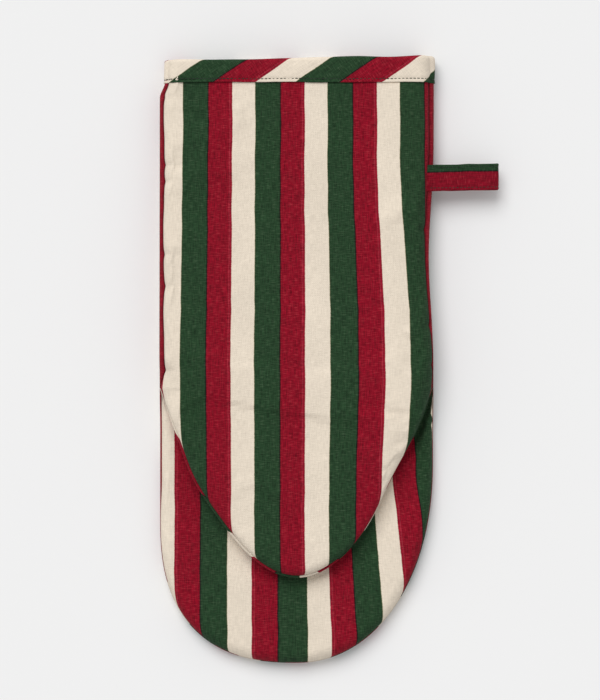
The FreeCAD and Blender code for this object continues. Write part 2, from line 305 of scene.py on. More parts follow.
# %% The fan of rows
class Fan:
    """Rows of a panel from its middle line to its two edges, with their directions and square distances."""

    def __init__(self, left, right, middle_share):
        self.edge = {LEFT: left, RIGHT: right}
        middle_y = (left[:, 1] + right[:, 1]) / 2
        self.middle = np.stack([np.zeros(len(left)), np.where(middle_y < 0, middle_share, 1) * middle_y], -1)
        self.y = middle_y
        self.out, self.reach, self.lean = {}, {}, {}
        for side, edge in self.edge.items():
            along = np.gradient(edge, axis=0)
            normal = np.stack([along[:, 1], -along[:, 0]], -1) * -side
            normal /= np.linalg.norm(normal, axis=1, keepdims=True)
            ray = edge - self.middle
            length = np.linalg.norm(ray, axis=1)
            self.out[side] = ray / length[:, None]
            self.lean[side] = np.clip((self.out[side] * normal).sum(1), 0.35, 1)
            self.reach[side] = length * self.lean[side]

    def place(self, side, depth):
        """Points at square distances depth (rows, columns) in from one edge."""
        step = depth / self.lean[side][:, None]
        return self.edge[side][:, None] - self.out[side][:, None] * step[..., None]


def fan_flat(fan, halves):
    """Cloth coordinates: the middle point plus the row's direction times the length walked over the cloth."""
    flats = []
    for side, points in halves.items():
        steps = np.linalg.norm(np.diff(points, axis=1), axis=-1)
        walked = np.concatenate([np.cumsum(steps[:, ::-1], 1)[:, ::-1], np.zeros((len(points), 1))], 1)
        flats.append(fan.middle[:, None] + fan.out[side][:, None] * walked[..., None])
    return flats


def join_halves(left, right):
    """The left half from its edge to the middle, then the right half from the middle to its edge."""
    return np.concatenate([left, right[:, -2::-1]], 1)


flat_columns = 46


def drawn_in(fan, inward):
    """How far an inner layer is moved in: cut back near the fold's ends, where four panels crowd together."""
    reach = np.where(fan.y < 0, 21.0, 14.0)
    cut_back = 14.0 * np.exp(-((fan.y / reach) ** 2)) if inward > 0 else 0 * fan.y
    return inward + cut_back[:, None]


def lid(fan, seam_z, top, inset, roll, relief, inward=0.0, edge_columns=20, across=flat_columns):
    """A panel seen from its face: a quarter ellipse up from the seam, then the padded flat.

    seam_z, inset and roll give a number per row for one side; top and relief give a height from x, y and depth.
    inward moves the whole surface that far into the padding.
    """
    halves = {}
    for side in (LEFT, RIGHT):
        start, width = inset(side)[:, None] + drawn_in(fan, inward), roll(side)[:, None]
        angle = np.linspace(0, math.pi / 2, edge_columns)
        turned = start + width * (1 - np.cos(angle))
        spread = np.linspace(0, 1, across + 1)[1:]
        depth = np.concatenate([turned, turned[:, -1:] + (fan.reach[side][:, None] - turned[:, -1:]) * spread], 1)
        rise = np.concatenate([np.sin(angle), np.ones(across)])
        place = fan.place(side, depth)
        low_z = seam_z(side)[:, None]
        z = low_z + (top(place[..., 0], place[..., 1]) - inward - low_z) * rise
        z = z + relief(side, place[..., 0], place[..., 1], depth - inset(side)[:, None]) * np.maximum(rise, 0.15)
        halves[side] = np.concatenate([place, z[..., None]], -1)
    return join_halves(halves[LEFT], halves[RIGHT]), join_halves(*fan_flat(fan, halves))


def around(fan, seam_z, base, inset, roll, relief, inward=0.0, edge_columns=20, across=flat_columns):
    """A panel under another: from the seam out over a small collar, down a wall, and under to the flat base."""
    halves = {}
    collar, wall = edge_columns // 3, edge_columns // 4
    under = edge_columns - collar - wall
    for side in (LEFT, RIGHT):
        start = np.maximum(inset(side) - inward, 0.15)[:, None]
        low_z = base(fan.edge[side][:, 0], fan.edge[side][:, 1])[:, None] + inward
        high_z = np.maximum(seam_z(side)[:, None] - 0.8 * inward, low_z + 0.1)
        lip = np.minimum(start, 0.3 * (high_z - low_z))
        width = roll(side)[:, None]
        drop = np.minimum(width, high_z - lip - low_z)
        a = np.linspace(0, math.pi / 2, collar, endpoint=False)
        b = np.linspace(0, 1, wall, endpoint=False)
        c = np.linspace(0, math.pi / 2, under)
        spread = np.linspace(0, 1, across + 1)[1:]
        depth = [start * (1 - np.sin(a)), 0 * start + 0 * b, width * (1 - np.cos(c))]
        depth.append(width + (fan.reach[side][:, None] - drawn_in(fan, inward) - width) * spread)
        depth = np.concatenate(depth, 1) + drawn_in(fan, inward)
        z = [high_z - lip * (1 - np.cos(a)), high_z - lip - (high_z - lip - low_z - drop) * b]
        z += [low_z + drop * (1 - np.sin(c)), low_z + 0 * spread]
        z = np.concatenate(z, 1)
        place = fan.place(side, depth)
        level = np.concatenate([np.zeros(collar + wall), np.sin(c), np.ones(across)])
        z = z + (base(place[..., 0], place[..., 1]) + inward - low_z) * level
        z = z + relief(side, place[..., 0], place[..., 1], depth) * level
        halves[side] = np.concatenate([place, z[..., None]], -1)
    return join_halves(halves[LEFT], halves[RIGHT]), join_halves(*fan_flat(fan, halves))

# %% [markdown]
# ## Where each panel lies
#
# Four panels make the mitt. The back panel lies underneath from cuff to fingertips. The front panel lies on top
# from cuff to the tongue's tip. Between them the mouth panel covers the fingers and turns back under the tongue.
# All four meet at a point at each end of the mouth's fold, so the seams dip and rise to it there.

# %% Heights of the seams and faces
meet_z = (pocket_top + tongue_base) / 2
pinch_places = (176.0, 135.0, 125.0, 81.0, 61.6, 11.0)


def front_top(x, y):
    """Level over the tongue, then sloping down to the cuff, with one soft bend between."""
    past = (y + np.sqrt(y**2 + 600)) / 2
    return crease_top - 0.3 - (crease_top - cuff_top + 0.6) * past / cuff_end


def hand_seam(y, side):
    """The side seam's height: a little under the top face, pinched down to the mouth's fold at its end."""
    under_top = np.where(y > 0, 5.0 if side == LEFT else 6.0, 4.6)
    usual = front_top(0, y) - under_top
    return usual + (meet_z - usual) * (1 - ease(0, 20, np.abs(y)))


def back_seam(y, side):
    """The back panel's seam: the side seam along the hand, and half the pocket's height round the fingers."""
    pocket = pocket_top / 2 + (meet_z - pocket_top / 2) * (1 - ease(0, 26, -y))
    return np.where(y > 0, hand_seam(y, side), pocket)


def seam_inset(y, side):
    """How far the front's seam sits in from the mitt's widest line: the back panel shows outside it."""
    if side == LEFT:
        hand = 2.3 + 0.5 * swell(y, 0 * y, 17, 3) + 0.9 * notch(y, pinch_places, 2.5)
        return np.where(y > 0, hand * ease(-2, 12, y) + 0.5, 0.5 + 1.1 * ease(6, 40, -y))
    hand = 0.6 + 2.6 * ease(5, 120, y) + 0.35 * swell(y, 0 * y, 15, 4) + 0.9 * notch(y, (38.0, 14.0, 96.0), 2.6)
    return np.where(y > 0, hand, 0.6 - 0.3 * ease(5, 40, -y) + 1.2 * ease(-92, -112, y))


def pocket_inset(y, side):
    """The same round the fingers, where a little of the back panel shows on the left."""
    return 0.4 + (0.7 * ease(-78, -55, y) if side == LEFT else 0 * y)


def panel_roll(top, seam):
    """How far in from its seam a panel turns over: a little less than it rises, and never sharp."""
    return np.maximum(0.9 * (top - seam) + 1.2, 1.6)


# %% [markdown]
# ## The padding's relief
#
# Wadding pushes a face up away from its seams, and the seams pull it into short puckers. On top of that come
# the slow swells of cloth that has been handled. Where the seam is caught tight, a little valley runs in from it.

# %% Relief of the faces
def padded_relief(x, y, depth, crown, slow, seed):
    """Crown that grows with depth from the seam, two sizes of swell, and puckers that fade with depth."""
    deep = np.maximum(depth, 0)
    raised = crown * (1 - np.exp(-deep / 20)) + slow * (0.5 * swell(x, y, 43, seed) + 0.22 * swell(x, y, 17, seed + 1))
    return raised + 0.55 * swell(x, y, 6.5, seed + 2) * np.exp(-deep / 5) * ease(0, 2, deep)


def front_relief(side, x, y, depth):
    """The front's padding, with valleys at the tight places of the left seam and creases at the mouth's ends."""
    z = padded_relief(x, y, depth, 1.3, 1.2, 11)
    if side == LEFT:
        z = z - 1.0 * notch(y, pinch_places, 2.4) * np.exp(-np.maximum(depth, 0) / 8)
        z = z - 0.6 * np.exp(-(((y - 166.5) / 1.3) ** 2) - ((x + 60) / 9) ** 2)
        z = z + 0.3 * np.exp(-(((y - 169.5) / 1.9) ** 2) - ((x + 60) / 10) ** 2)
    else:
        slant = (x - 74) * 0.5 + (y + 13) * 0.87
        z = z - 0.9 * np.exp(-((slant / 1.5) ** 2) - ((x - 76) / 6) ** 2)
        z = z - 0.7 * np.exp(-(((slant + 8) / 1.6) ** 2) - ((x - 77) / 5) ** 2)
    return z


# %% [markdown]
# ## Four walls of three layers
#
# Each wall of the mitt is printed cotton outside, wadding in the middle and plain cotton inside. All three
# follow one surface at three depths, so the layers never cross. The cover gets the fine grid because it is what
# shows. The inner layers are coarser, and the lining is what shows inside the cuff.

# %% Walls
LAYERS = {"cloth": (0.0, cloth, 1), "wadding": (cloth + loft, wadding, 2), "lining": (cloth + loft + wadding + 0.1, lining, 2)}
cover_end = cuff_end - 6.5
hand_rows, tongue_rows, finger_rows = 180, 150, 190


def panel_fan(outline, rows, share, coarse, hand=True):
    """The fan of one panel: level rows down the hand, then rows that follow the outline round its end."""
    ends = {side: outline(side, rows // coarse) for side in (LEFT, RIGHT)}
    if hand:
        y = np.linspace(cover_end, 0, hand_rows // coarse)[:-1]
        ends = {side: np.concatenate([hand_outline(side, y), end]) for side, end in ends.items()}
    return Fan(ends[LEFT], ends[RIGHT], share)


def front_wall(coarse, **how):
    fan = panel_fan(tongue_outline, tongue_rows, 0.74, coarse)
    seam = {side: hand_seam(fan.y, side) for side in (LEFT, RIGHT)}
    return lid(fan, seam.get, front_top, lambda side: seam_inset(fan.y, side),
               lambda side: panel_roll(front_top(0, fan.y), seam[side]), front_relief, **how)


def back_base(x, y):
    """Flat on whatever the mitt lies on, but for slow ripples, and lifted by the binding's folds at the cuff."""
    return 0.2 + 0.25 * (swell(x, y, 30, 21) + 1) + 1.0 * ease(172, 186, y)


def back_wall(coarse, inward=0.0, **how):
    fan = panel_fan(finger_outline, finger_rows, 0.5, coarse)
    how["inward"] = inward
    short = 6.0 * np.exp(-(((fan.y + 6) / 15) ** 2)) if inward > 0 else 0.0
    return around(fan, lambda side: back_seam(fan.y, side) - short, back_base,
                  lambda side: np.where(fan.y > 0, seam_inset(fan.y, side), pocket_inset(fan.y, side)), lambda side: 6.6 + 0 * fan.y,
                  lambda side, x, y, depth: 0 * x, **how)


def mouth_top(x, y):
    """The finger pocket's face: low under the tongue, a little fuller outside it, and up to meet the fold."""
    tongue_half = half_width * np.sqrt(np.clip(1 + y / tongue_length, 0, 1))
    past_tip = np.maximum(-tongue_length - y, 0)
    full = 1.6 * ease(3, 30, np.abs(x) - tongue_half + past_tip)
    gape = 4.2 * np.exp(-(((x - tongue_half - 1.0) / 2.6) ** 2)) * ease(-2, -12, y) * ease(-48, -26, y)
    fold = 1.3 * np.exp(-((((x - 78) * 0.8 + (y + 20) * 0.6) / 1.6) ** 2)) * np.exp(-(((y + 20) / 14) ** 2))
    face = pocket_top - 1.3 + full + np.where(x > 0, fold - gape, 0)
    return face + (meet_z - face) * (1 - ease(0, 7, -y))


def mouth_wall(coarse, inward=0.0, **how):
    fan = panel_fan(finger_outline, finger_rows, 0.5, coarse, hand=False)
    seam = {side: back_seam(np.minimum(fan.y, -1e-6), side) for side in (LEFT, RIGHT)}
    how["inward"] = inward
    spare = 5.0 if inward > 0 else 0.0

    def face(x, y):
        """The pocket's face, with the inner layers kept low where the mouth gapes."""
        return mouth_top(x, y) - spare * np.exp(-(((x - 75) / 9) ** 2) - ((y + 16) / 20) ** 2)

    return lid(fan, seam.get, face, lambda side: pocket_inset(fan.y, side),
               lambda side: panel_roll(mouth_top(0, fan.y), seam[side]),
               lambda side, x, y, depth: padded_relief(x, y, depth, 0.6, 0.6, 31) * ease(0, 10, -y), **how)


def tongue_under(x, y):
    """The tongue's underside, which meets the finger pocket at the fold."""
    return tongue_base + 0.15 + (meet_z - tongue_base - 0.15) * (1 - ease(0, 7, -y))


def tongue_wall(coarse, **how):
    fan = panel_fan(tongue_outline, tongue_rows, 0.74, coarse, hand=False)
    return around(fan, lambda side: hand_seam(np.minimum(fan.y, -1e-6), side), tongue_under,
                  lambda side: seam_inset(np.minimum(fan.y, -1e-6), side), lambda side: 6.2 + 0 * fan.y,
                  lambda side, x, y, depth: 0.2 * (1 + swell(x, y, 14, 41)) * ease(0, 10, -y), **how)


# %% [markdown]
# ## Letting the cloth settle
#
# Formulas give a face that is too even. A cover is really a little larger than the padding under it, and it
# crumples where its seams hold it. Blender's Cloth does that on a coarse copy of the panel, held along its
# border: the cloth grows by a few percent and a light pressure stands in for the wadding. Only the movement is
# kept. It is limited, so that the cover never leaves its wadding, and spread over the fine grid.

# %% Cloth simulation
def settled(points, growth, pressure, limits, frames=16, skip=(4, 2)):
    """How far Cloth moves each point of a grid, in millimetres, worked out on every few rows and columns."""
    rows = np.unique(np.append(np.arange(0, points.shape[0], skip[0]), points.shape[0] - 1))
    cols = np.unique(np.append(np.arange(0, points.shape[1], skip[1]), points.shape[1] - 1))
    coarse = points[rows][:, cols]
    piece = grid_piece("settling", coarse, coarse[..., :2])
    number = np.arange(coarse[..., 0].size).reshape(coarse.shape[:2])
    held = piece.vertex_groups.new(name="held")
    held.add(np.unique(np.concatenate([number[0], number[-1], number[:, 0], number[:, -1]])).tolist(), 1.0, "REPLACE")
    cloth_sim = piece.modifiers.new("cloth", "CLOTH")
    how = cloth_sim.settings
    how.quality, how.mass, how.vertex_group_mass = 8, 0.2, "held"
    how.tension_stiffness, how.compression_stiffness, how.shear_stiffness, how.bending_stiffness = 12, 12, 5, 0.4
    how.use_pressure, how.uniform_pressure_force, how.shrink_min = True, pressure, -growth
    how.effector_weights.gravity = 0
    cloth_sim.collision_settings.use_collision = False
    cloth_sim.point_cache.frame_start, cloth_sim.point_cache.frame_end = 1, frames
    for frame_number in range(1, frames + 1):
        scene.frame_set(frame_number)
    made = piece.evaluated_get(bpy.context.evaluated_depsgraph_get()).to_mesh()
    after = np.empty(coarse.size, np.float32)
    made.vertices.foreach_get("co", after)
    bpy.data.objects.remove(piece)
    scene.frame_set(1)
    move = after.reshape(coarse.shape) / mm - coarse
    lift = np.clip(move[..., 2], *limits)
    lift = np.stack([np.interp(np.arange(points.shape[1]), cols, row) for row in lift])
    return np.stack([np.interp(np.arange(points.shape[0]), rows, col) for col in lift.T], -1)


# %% [markdown]
# ## Where the print falls
#
# The stripes were printed before the cloth was cut, so each panel has its own start and the print keeps to the
# cloth round every edge. The repeat is green, red and cream, and it begins at nought where the green begins. On
# the front the right half is stretched a little towards the mouth. The mouth panel was cut the other way round.

# %% Print coordinates
repeat = 43.7


def front_print(u, v):
    """Across the front: the repeat's start, with the right half spread by up to a tenth towards the mouth."""
    pull = ease(150, 10, v) - 0.45 * ease(10, -62, v)
    u = np.where(u > 2, 2 + (u - 2) / (1 + 0.108 * pull), np.where(u < 0, u / (1 + 0.022 * pull), u))
    return u + 68.6


def back_print(u, v):
    """Across the back, scaled so that both side edges fall in the red."""
    edge = 104 - 9 * np.clip(v, 0, 200) / 200 - 8 * ease(0, 60, -v)
    return 15.5 + (u * 90 / edge + 90) * 1.048


def mouth_print(u, v):
    """The mouth panel, cut the other way round, with its right half leaning out towards the fold.

    Two bell curves are places where the cloth gave a little under the roller.
    """
    u = np.where(u > 0, u / (1 - 0.0018 * (v + 105)), u)
    u = u - 1.8 * np.exp(-(((u - 2) / 10) ** 2)) + 2.1 * np.exp(-(((u - 43) / 14) ** 2))
    u = u + ease(48, 66, u) * (2.6 - 5.4 * ease(-58, -22, v))
    return (-u - 42.1) * repeat / 46.9


def tongue_print(u, v):
    """The same panel past its fold, shifted a little by the turn."""
    return mouth_print(u + 4, -105 + 0 * v)


def printed(flat, place):
    """Flat coordinates with the place in the print across, and the cloth's own length along."""
    return np.stack([place(flat[..., 0], flat[..., 1]), flat[..., 1]], -1)


# %% The walls' pieces
def flat_area(flat):
    """Area of the flat cloth by the shoelace formula round the grid's border."""
    rim = np.concatenate([flat[0], flat[1:, -1], flat[-1, -2::-1], flat[-2:0:-1, 0]])
    x, y = rim[:, 0], rim[:, 1]
    return abs(np.sum(x * np.roll(y, -1) - y * np.roll(x, -1))) / 2


settling = {"front": (0.03, 1.5, (-0.4, 1.2)), "mouth": (0.02, 1.0, (-0.3, 0.4))}
walls = {}
flat_sizes = {}
for wall_name, wall, place, upside in (("front", front_wall, front_print, False), ("back", back_wall, back_print, True),
                                       ("mouth", mouth_wall, mouth_print, False),
                                       ("thumb_mouth", tongue_wall, tongue_print, True)):
    for layer, (inward, thick, coarse) in LAYERS.items():
        across, edge = (flat_columns, 20) if coarse == 1 else (flat_columns // 2, 12)
        points, flat = wall(coarse, inward=inward, edge_columns=edge, across=across)
        if layer == "cloth" and wall_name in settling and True:
            lift = settled(points, *settling[wall_name])
            points[..., 2] += lift
            print(f"{wall_name} settled by {lift.min():.2f} to {lift.max():.2f} mm")
        piece = grid_piece(f"{wall_name}_{layer}_shape", points, printed(flat, place), tip=True, flip=not upside)
        from_seam = np.linalg.norm(flat - np.where(np.arange(flat.shape[1])[:, None] < flat.shape[1] / 2,
                                                   flat[:, :1], flat[:, -1:]), axis=-1)
        # Painted shade for the seams: the hand's side seams lie deep between two padded rolls and get the full
        # darkening; round the fingers the seam is open to the light and gets a quarter of it.
        shade = np.exp(-from_seam / 0.7) * (0.25 + 0.75 * ease(-25, 5, points[..., 1]))
        mid = flat.shape[1] // 2
        store(piece, "painted_seam_shade", np.concatenate([shade[:-1].ravel(), shade[-1, :mid + 1]]))
        walls[wall_name, layer] = thicken(piece, thick)
        flat_sizes[wall_name, layer] = (np.ptp(flat[..., 0]) * mm, np.ptp(flat[..., 1]) * mm, flat_area(flat) * mm * mm)
        w, l, a = flat_sizes[wall_name, layer]
        print(f"{wall_name} {layer}: {len(walls[wall_name, layer].data.polygons)} faces, cut {w:.3f} by {l:.3f} m, {a:.4f} m2")

# %% [markdown]
# ## The mouth's fold, inside the mitt
#
# Past its fold the mouth panel turns back on itself, and from inside the hand that turn is a soft round ridge
# across the mitt. Half a circle carried across makes it, once for the wadding and once for the lining over it.

# %% Fold
def mouth_fold(layer):
    """Half a circle from under the fold to over it, carried across the mitt."""
    inward, thick, _ = LAYERS[layer]
    turn = np.linspace(-math.pi / 2, math.pi / 2, 13)[:, None]
    x = np.linspace(-half_width + 25, half_width - 25, 49)[None, :]
    points = np.stack([x + 0 * turn, inward * np.cos(turn) + 0 * x, meet_z + inward * np.sin(turn) + 0 * x], -1)
    flat = np.stack([x + 0 * turn, inward * turn + 0 * x], -1)
    piece = grid_piece(f"mouth_fold_{layer}", points, flat, flip=False)
    return thicken(piece, thick)


folds = {layer: mouth_fold(layer) for layer in ("wadding", "lining")}
print("folds", [len(piece.data.polygons) for piece in folds.values()])

# %% [markdown]
# ## The bias binding
#
# A strip of the same print, cut on the slant so that it stretches round the cuff, folds over the raw ends of
# all the layers. It is one profile carried round the cuff: up the outside from its sewn edge, over the end and
# down the inside. The cuff's own section, front and back together, is the path.

# %% Binding
def cuff_section(y, count):
    """The mitt's section at y as a closed line of x and z, evenly divided, with its corners a little eased."""
    rows = np.full(3, y) + np.array([0.5, 0, -0.5])
    fan = Fan(hand_outline(LEFT, rows), hand_outline(RIGHT, rows), 1)
    top, _ = lid(fan, lambda side: hand_seam(rows, side), front_top, lambda side: seam_inset(rows, side),
                 lambda side: panel_roll(front_top(0, rows), hand_seam(rows, side)), front_relief)
    low_half, _ = around(fan, lambda side: hand_seam(rows, side), back_base, lambda side: seam_inset(rows, side),
                         lambda side: 6.6 + 0 * rows, lambda side, x, y, depth: 0 * x)
    line = np.concatenate([top[1][:, [0, 2]], low_half[1][::-1][1:, [0, 2]]])
    run = np.concatenate([[0], np.cumsum(np.hypot(*np.diff(line, axis=0).T))])
    where = np.linspace(0, run[-1], count, endpoint=False)
    line = np.stack([np.interp(where, run, line[:, i]) for i in (0, 1)], -1)
    for _ in range(4):
        line = (np.roll(line, 1, 0) + 2 * line + np.roll(line, -1, 0)) / 4
    return np.roll(line, -np.argmin(np.hypot(line[:, 0], line[:, 1])), 0)


def outward(line):
    """Unit normals of a closed line in its own plane, pointing away from its inside."""
    along = np.roll(line, -1, 0) - np.roll(line, 1, 0)
    along /= np.linalg.norm(along, axis=1, keepdims=True)
    return np.stack([-along[:, 1], along[:, 0]], -1)


def cuff_edge(x):
    """The bound end's y: a little longer on the right, and slightly wavy."""
    return cuff_end - 1.5 + 2.4 * x / (2 * half_width) + 0.75 * swell(x, 0 * x, 21, 51)


sandwich = cloth + loft + wadding + lining + 0.15
fold_radius = (sandwich + 1.3) / 2
ring = cuff_section(193.0, 480)
ring = np.concatenate([ring, ring[:1]])
ring_out = outward(ring[:-1])
ring_out = np.concatenate([ring_out, ring_out[:1]])
ring_run = np.concatenate([[0], np.cumsum(np.hypot(*np.diff(ring, axis=0).T))])
ring_run -= ring_run[-1] / 2
face_lift = 0.8
over = np.linspace(0, math.pi, 13)
profile_y = np.concatenate([[0.9, 0.15, 0.0, 0.2], np.linspace(1.1, 10.5, 12), 13 + 0 * over, [10, 6, 3.4, 3.0]])
profile_off = np.concatenate([[0.0, 0.25, 0.6, face_lift], np.full(12, face_lift),
                              face_lift - fold_radius + fold_radius * np.cos(over), [-sandwich - 0.5] * 3, [-sandwich]])
over_y = np.concatenate([np.zeros(16), 0.82 * fold_radius * np.sin(over), np.zeros(4)])
groove = 0.55 * np.exp(-(((profile_y - 2.1) / 0.55) ** 2)) * (profile_off > 0)
ring_x = ring[:, 0]
edge_wave = 0.35 * swell(ring_run, 0 * ring_run, 11, 52)
reach_out = (cuff_edge(ring_x) - binding_edge - 0.82 * fold_radius) / 13
binding_y = binding_edge + profile_y[:, None] * reach_out[None, :] + over_y[:, None]
binding_y += edge_wave[None, :] * (1 - ease(0, 9, profile_y))[:, None]
ripple = 0.22 * swell(ring_run[None, :] + 0.7 * profile_y[:, None], profile_y[:, None] * 0.35 + 0 * ring_run, 4.6, 53)
ripple += 0.4 * swell(ring_run[None, :] - 1.3 * profile_y[:, None], profile_y[:, None] * 0.5 + 0 * ring_run, 9.5, 56)
binding_off = (profile_off - groove)[:, None] + ripple * ((profile_off > 0.5) * ease(0, 3, profile_y))[:, None]
slope = (front_top(0, binding_y) - front_top(0, 193.0)) * np.clip(ring[:, 1] / cuff_top, 0, 1)
binding_points = np.stack([ring_x + binding_off * ring_out[:, 0], binding_y,
                           np.maximum(ring[:, 1] + slope + binding_off * ring_out[:, 1], 0.1)], -1)
profile_run = np.concatenate([[0], np.cumsum(np.hypot(np.diff(profile_y + over_y), np.diff(profile_off)))])
outside = 16
binding_v = np.concatenate([binding_y[:outside], binding_y[outside - 1] + (profile_run[outside:] - profile_run[outside - 1])[:, None]])
binding_flat = np.stack([ring_run + 0 * profile_run[:, None], binding_v], -1)
bias = math.radians(34.7)
binding_across = binding_flat[..., 0] * math.sin(bias) - (binding_flat[..., 1] - 199) * math.cos(bias) + 34.5
binding_along = binding_flat[..., 0] * math.cos(bias) + binding_flat[..., 1] * math.sin(bias)
binding = grid_piece("cuff_binding_shape", binding_points, np.stack([binding_across, binding_along], -1), ring=True)
binding = thicken(binding, 0.4)
print(f"binding {len(binding.data.polygons)} faces, {ring_run[-1] * 2:.0f} mm round, cut {profile_run[-1]:.0f} mm wide")

# %% [markdown]
# ## Threads
#
# A stitch is a short thread that comes up out of the cloth, lies along it and goes down again. One spindle of a
# few faces is worked out once, and whole arrays of centres and directions put a copy at every stitch. The seam
# inside the turned edges is one long thread down the bottom of its groove.

# %% Stitches and seam threads
def unit(v):
    return v / np.linalg.norm(v, axis=-1, keepdims=True)


def stitch_row(name, centres, along, up, length, thick):
    """Spindles: rings of six points whose radius is a superellipse of the length, arched up in the middle."""
    t = np.array([-1, -0.8, -0.3, 0.3, 0.8, 1])
    radius = thick * np.array([0.35, 0.8, 1, 1, 0.8, 0.35])
    turn = np.arange(6) * math.pi / 3
    side = unit(np.cross(along, up))
    c, a, u, s = (v[:, None, None] for v in (centres, along, up, side))
    t3, r3, turn3 = t[None, :, None, None], radius[None, :, None, None], turn[None, None, :, None]
    points = c + a * t3 * length / 2 + u * (thick * (0.7 - 1.3 * t3**4) + r3 * np.cos(turn3)) + s * r3 * np.sin(turn3)
    near, far = np.arange(5)[:, None] * 6, np.arange(1, 6)[:, None] * 6
    k, k2 = np.arange(6)[None], (np.arange(6)[None] + 1) % 6
    sides = np.stack([near + k, far + k, far + k2, near + k2], -1).reshape(-1, 4)
    caps = np.array([[0, 1, 2, 3], [0, 3, 4, 5], [33, 32, 31, 30], [35, 34, 33, 30]])
    one = np.concatenate([sides, caps])
    faces = (one[None] + 36 * np.arange(len(centres))[:, None, None]).reshape(-1, 4)
    mesh = bpy.data.meshes.new(name)
    mesh.from_pydata((points.reshape(-1, 3) * mm).tolist(), [], faces.tolist())
    mesh.polygons.foreach_set("use_smooth", np.ones(len(faces), bool))
    piece = bpy.data.objects.new(name, mesh)
    scene.collection.objects.link(piece)
    return piece


def thread(name, path, radius):
    """A round thread along a path: circles square to it, from the side direction and its cross product."""
    along = unit(np.gradient(path, axis=0))
    side = unit(np.cross(along, np.array([0.0, 0.3, 1.0])))
    up = np.cross(side, along)
    turn = np.linspace(0, 2 * math.pi, 7)
    swollen = radius * (1 + 0.25 * np.sin(np.arange(len(path)) * 2.1))[:, None, None]
    points = path[:, None] + swollen * (side[:, None] * np.cos(turn)[:, None] + up[:, None] * np.sin(turn)[:, None])
    flat = np.stack([np.arange(len(path))[:, None] + 0 * turn, turn + 0 * np.arange(len(path))[:, None]], -1)
    return close_ends(grid_piece(name, points, flat, ring=True, flip=True))


def close_ends(piece):
    """Fills the open ends of a tube with a face each."""
    made = bmesh.new()
    made.from_mesh(piece.data)
    bmesh.ops.holes_fill(made, edges=[e for e in made.edges if e.is_boundary], sides=0)
    made.to_mesh(piece.data)
    made.free()
    return piece


def seam_path(outline, seam_z, inset, depth_below):
    """A line along a seam: the edge moved in by the seam's inset, at the seam's height less its groove."""
    along = np.gradient(outline, axis=0)
    inwards = unit(np.stack([-along[:, 1], along[:, 0]], -1))
    inwards *= -np.sign((inwards * outline).sum(1, keepdims=True))
    place = outline + inwards * (inset[:, None] + 0.1)
    return np.concatenate([place, (seam_z - depth_below)[:, None]], -1)


def round_end(outline, count, seam_z, inset, depth_below):
    """A seam's line from the left end of the fold round a tip to the right end."""
    halves = []
    for side in (LEFT, RIGHT):
        edge = outline(side, count)
        halves.append(seam_path(edge, seam_z(np.minimum(edge[:, 1], -1e-6), side),
                                inset(np.minimum(edge[:, 1], -1e-6), side), depth_below))
    return np.concatenate([halves[0], halves[1][-2::-1]])


hand_y = np.linspace(2.0, cover_end - 1, 160)
side_seams = {side: thread(f"side_seam_{word}_thread", seam_path(hand_outline(side, hand_y), hand_seam(hand_y, side),
                                                                 seam_inset(hand_y, side), 1.0), 0.3)
              for side, word in ((LEFT, "left"), (RIGHT, "right"))}
thumb_seam = thread("thumb_seam_thread", round_end(tongue_outline, 110, hand_seam, seam_inset, 0.5), 0.25)
finger_seam = thread("finger_seam_thread", round_end(finger_outline, 140, back_seam, pocket_inset, 0.5), 0.25)

# The binding's top-stitching goes round the whole cuff, front and back, 2.1 mm above its lower edge.
stitch_count = 150
stitch_run = (np.arange(stitch_count) + 0.5) / stitch_count * ring_run[-1] * 2 - ring_run[-1]
stitch_x, stitch_z, out_x, out_z, wave = (np.interp(stitch_run, ring_run, v) for v in
                                          (ring[:, 0], ring[:, 1], ring_out[:, 0], ring_out[:, 1], edge_wave))
stitch_y = binding_edge + 2.1 + wave * 0.9 + 0.18 * swell(stitch_run, 0 * stitch_run, 9, 54)
stitch_z = stitch_z + (front_top(0, stitch_y) - front_top(0, 193.0)) * np.clip(stitch_z / cuff_top, 0, 1)
stitch_up = unit(np.stack([out_x, 0 * out_x, out_z], -1))
stitch_along = unit(np.stack([out_z, 0.06 * swell(stitch_run, 0 * stitch_run, 3, 55), -out_x], -1))
stitch_place = np.stack([stitch_x, stitch_y, stitch_z], -1) + stitch_up * (face_lift - 0.5)
stitch_place[:, 2] = np.maximum(stitch_place[:, 2], 0.5)
binding_stitches = stitch_row("binding_stitch_row", stitch_place, stitch_along, stitch_up, 1.95, 0.27)
print("stitches", stitch_count, "thread pieces", len(side_seams) + 2)

# %% [markdown]
# ## The hanging loop
#
# A narrow strap folded lengthways, stitched along both long edges and doubled back on itself into the side seam.
# Its thickness, a little fuller at its folded edges and dented along the stitches, is a closed profile. That is
# carried out along the top, round a small eye at the end, and back underneath.

# %% Loop
loop_middle = (low("hanging_loop", 1) + high("hanging_loop", 1)) / 2
loop_end = high("hanging_loop", 0)
loop_half = 8.0
loop_root = 78.0
loop_drop = 0.105
eye = 2.2


def loop_centre(x):
    """The height of the strap's middle, falling evenly away from the seam."""
    return loop_hinge[2] + 4.6 - loop_drop * (x - 80)


